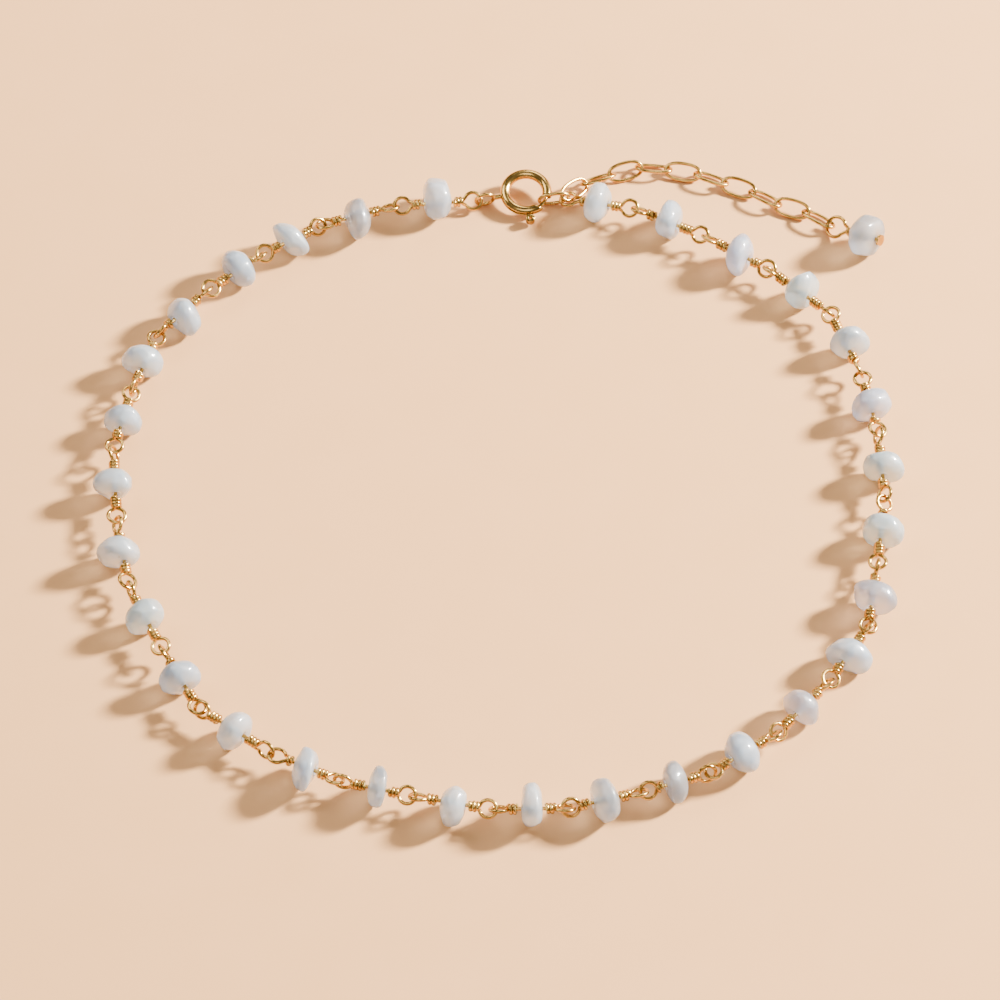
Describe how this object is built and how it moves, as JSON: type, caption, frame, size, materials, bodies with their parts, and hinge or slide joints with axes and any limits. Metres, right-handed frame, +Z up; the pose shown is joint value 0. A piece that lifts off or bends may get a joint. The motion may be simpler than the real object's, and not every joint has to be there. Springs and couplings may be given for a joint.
{
  "type": "beaded anklet",
  "caption": "Closed loop of tumbled stone beads on wrapped gold wire links, with a spring-ring clasp and an extender of oval links that ends in a drop bead.",
  "frame": {"origin": "on the surface that the anklet lies on, under the middle of its whole outline", "axes": "+Z up; +Y towards the clasp; +X towards the side that the extender lies on"},
  "size_m": [0.0824, 0.0834, 0.0046],
  "materials": {
    "stone": "tumbled, translucent milky pale blue stone with soft polish",
    "gold": "polished warm gold-filled wire"
  },
  "bodies": {
    "anklet": {"clasp_body": "gold", "bead_01": "stone", "bead_02": "stone", "bead_03": "stone", "bead_04": "stone", "bead_05": "stone", "bead_06": "stone", "bead_07": "stone", "bead_08": "stone", "bead_09": "stone", "bead_10": "stone", "bead_11": "stone", "bead_12": "stone", "bead_13": "stone", "bead_14": "stone", "bead_15": "stone", "bead_16": "stone", "bead_17": "stone", "bead_18": "stone", "bead_19": "stone", "bead_20": "stone", "bead_21": "stone", "bead_22": "stone", "bead_23": "stone", "bead_24": "stone", "bead_25": "stone", "bead_26": "stone", "bead_27": "stone", "bead_28": "stone", "bead_29": "stone", "bead_30": "stone", "wires_left": "gold", "wires_right": "gold", "extender_link_00": "gold", "extender_link_01": "gold", "extender_link_02": "gold", "extender_link_03": "gold", "extender_link_04": "gold", "extender_link_05": "gold", "extender_link_06": "gold", "extender_link_07": "gold", "extender_link_08": "gold", "extender_link_09": "gold", "extender_link_10": "gold", "drop_bead": "stone", "head_pin": "gold"},
    "trigger": {"clasp_trigger": "gold"}
  },
  "joints": [
    {"name": "trigger_slide_back", "type": "hinge", "parent": "anklet", "child": "trigger", "pos_m": [0.00277, 0.03694, 0.0013], "axis": [0, -0.1564, 0.9877], "range_deg": [-45, 0], "stiffness_Nm_per_rad": 0.0005}
  ]
}
